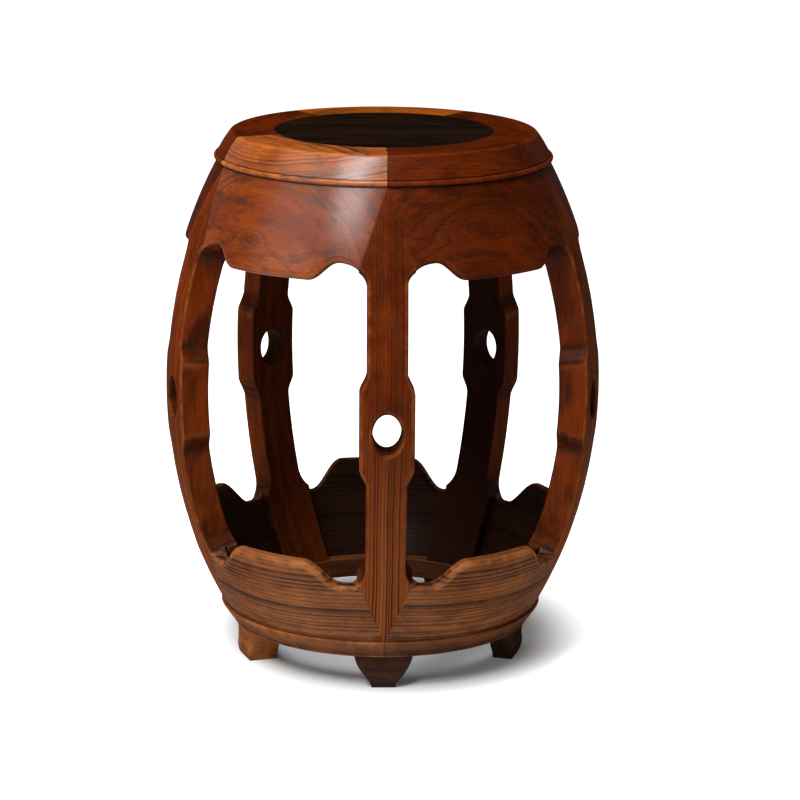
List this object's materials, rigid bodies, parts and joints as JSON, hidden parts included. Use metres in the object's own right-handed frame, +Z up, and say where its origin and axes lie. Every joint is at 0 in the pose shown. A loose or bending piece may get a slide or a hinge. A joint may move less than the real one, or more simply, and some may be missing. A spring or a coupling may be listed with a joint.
{
  "type": "drum stool",
  "caption": "Barrel-shaped hardwood stool with a round framed seat, curved pierced legs, shaped aprons above and below, a base ring and small bracket feet.",
  "frame": {"origin": "on the floor, on the stool's vertical axis", "axes": "+Z up along the stool's axis, -Y towards the leg that faces the viewer in the picture, +X to the viewer's right"},
  "size_m": [0.3878, 0.3767, 0.48],
  "materials": {
    "seat_frame_wood": "hardwood, orange brown with dark streaks, satin polish",
    "seat_panel_wood": "near-black hardwood, satin polish",
    "seat_brace_wood": "hardwood, dark brown, plain",
    "upper_apron_wood": "hardwood, mottled red brown, satin polish",
    "leg_wood": "hardwood, red brown with fine dark streaks, satin polish",
    "lower_apron_wood": "hardwood, striped orange brown, satin polish",
    "base_ring_wood": "hardwood, orange brown, satin polish",
    "foot_wood": "hardwood, dark brown, satin polish"
  },
  "bodies": {
    "root": {"seat_frame_1": "seat_frame_wood", "seat_frame_2": "seat_frame_wood", "seat_frame_3": "seat_frame_wood", "seat_frame_4": "seat_frame_wood", "seat_frame_5": "seat_frame_wood", "seat_panel": "seat_panel_wood", "seat_brace": "seat_brace_wood", "upper_apron_1": "upper_apron_wood", "upper_apron_2": "upper_apron_wood", "upper_apron_3": "upper_apron_wood", "upper_apron_4": "upper_apron_wood", "upper_apron_5": "upper_apron_wood", "leg_1": "leg_wood", "leg_2": "leg_wood", "leg_3": "leg_wood", "leg_4": "leg_wood", "leg_5": "leg_wood", "lower_apron_1": "lower_apron_wood", "lower_apron_2": "lower_apron_wood", "lower_apron_3": "lower_apron_wood", "lower_apron_4": "lower_apron_wood", "lower_apron_5": "lower_apron_wood", "base_ring_1": "base_ring_wood", "base_ring_2": "base_ring_wood", "base_ring_3": "base_ring_wood", "base_ring_4": "base_ring_wood", "base_ring_5": "base_ring_wood", "foot_1": "foot_wood", "foot_2": "foot_wood", "foot_3": "foot_wood", "foot_4": "foot_wood", "foot_5": "foot_wood"}
  },
  "joints": []
}
